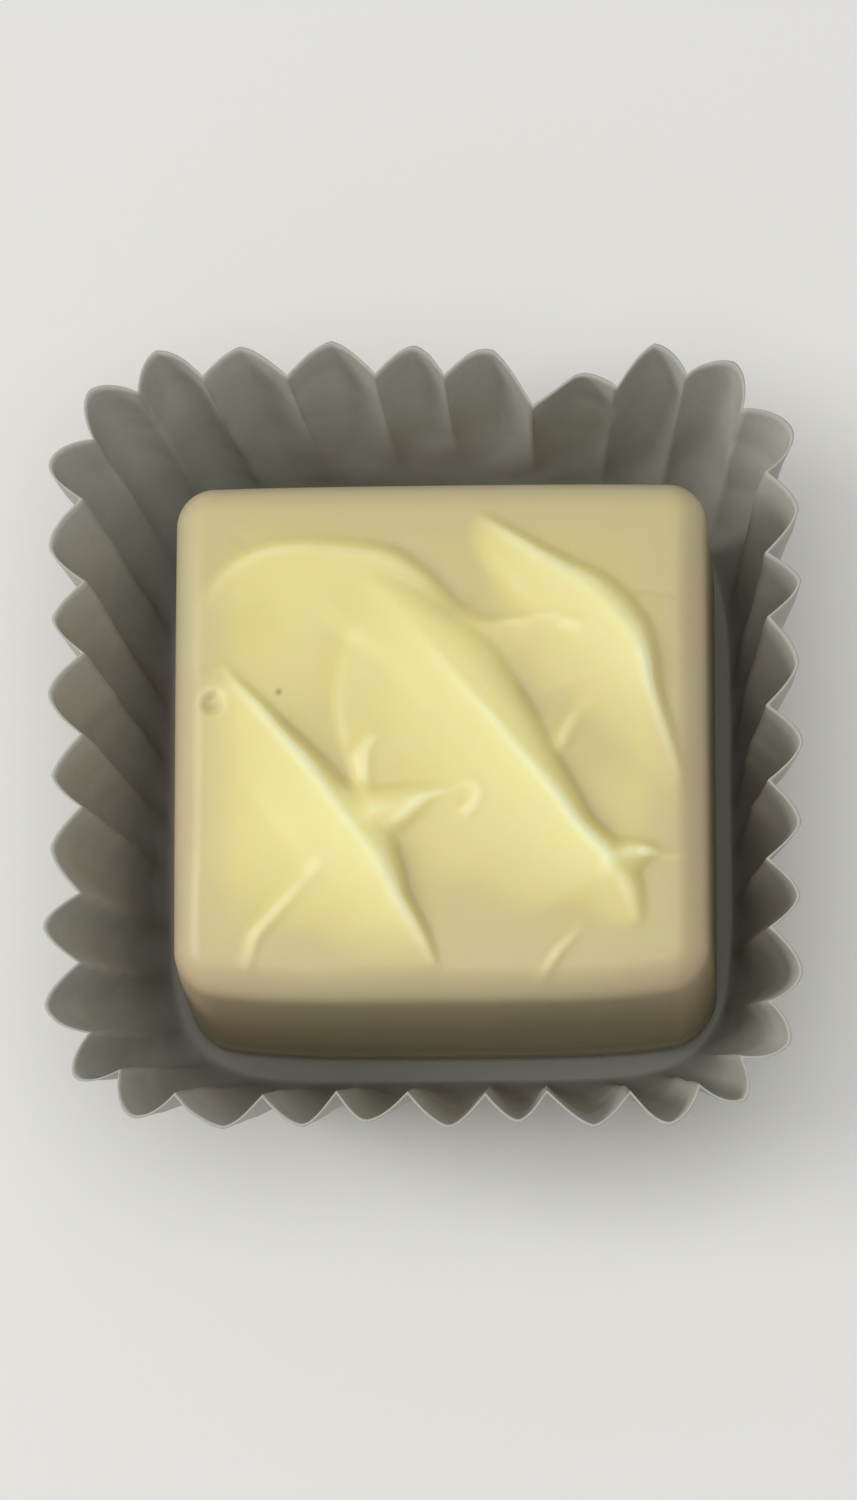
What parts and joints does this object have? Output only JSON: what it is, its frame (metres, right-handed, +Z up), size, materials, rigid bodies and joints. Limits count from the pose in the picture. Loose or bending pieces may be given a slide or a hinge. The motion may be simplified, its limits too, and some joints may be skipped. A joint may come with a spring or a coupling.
{
  "type": "white chocolate square in paper case",
  "caption": "Square sweet coated in white chocolate with a swirled top, standing in a fluted square paper case.",
  "frame": {"origin": "centre of the paper case's footprint, on the surface it stands on", "axes": "+Z up, +X to the right and +Y to the back of the piece as the picture shows it from above"},
  "size_m": [0.0357, 0.038, 0.0164],
  "materials": {
    "white_chocolate": "satin",
    "case_paper": "matte"
  },
  "bodies": {
    "root": {"chocolate": "white_chocolate", "paper_case": "case_paper"}
  },
  "joints": []
}
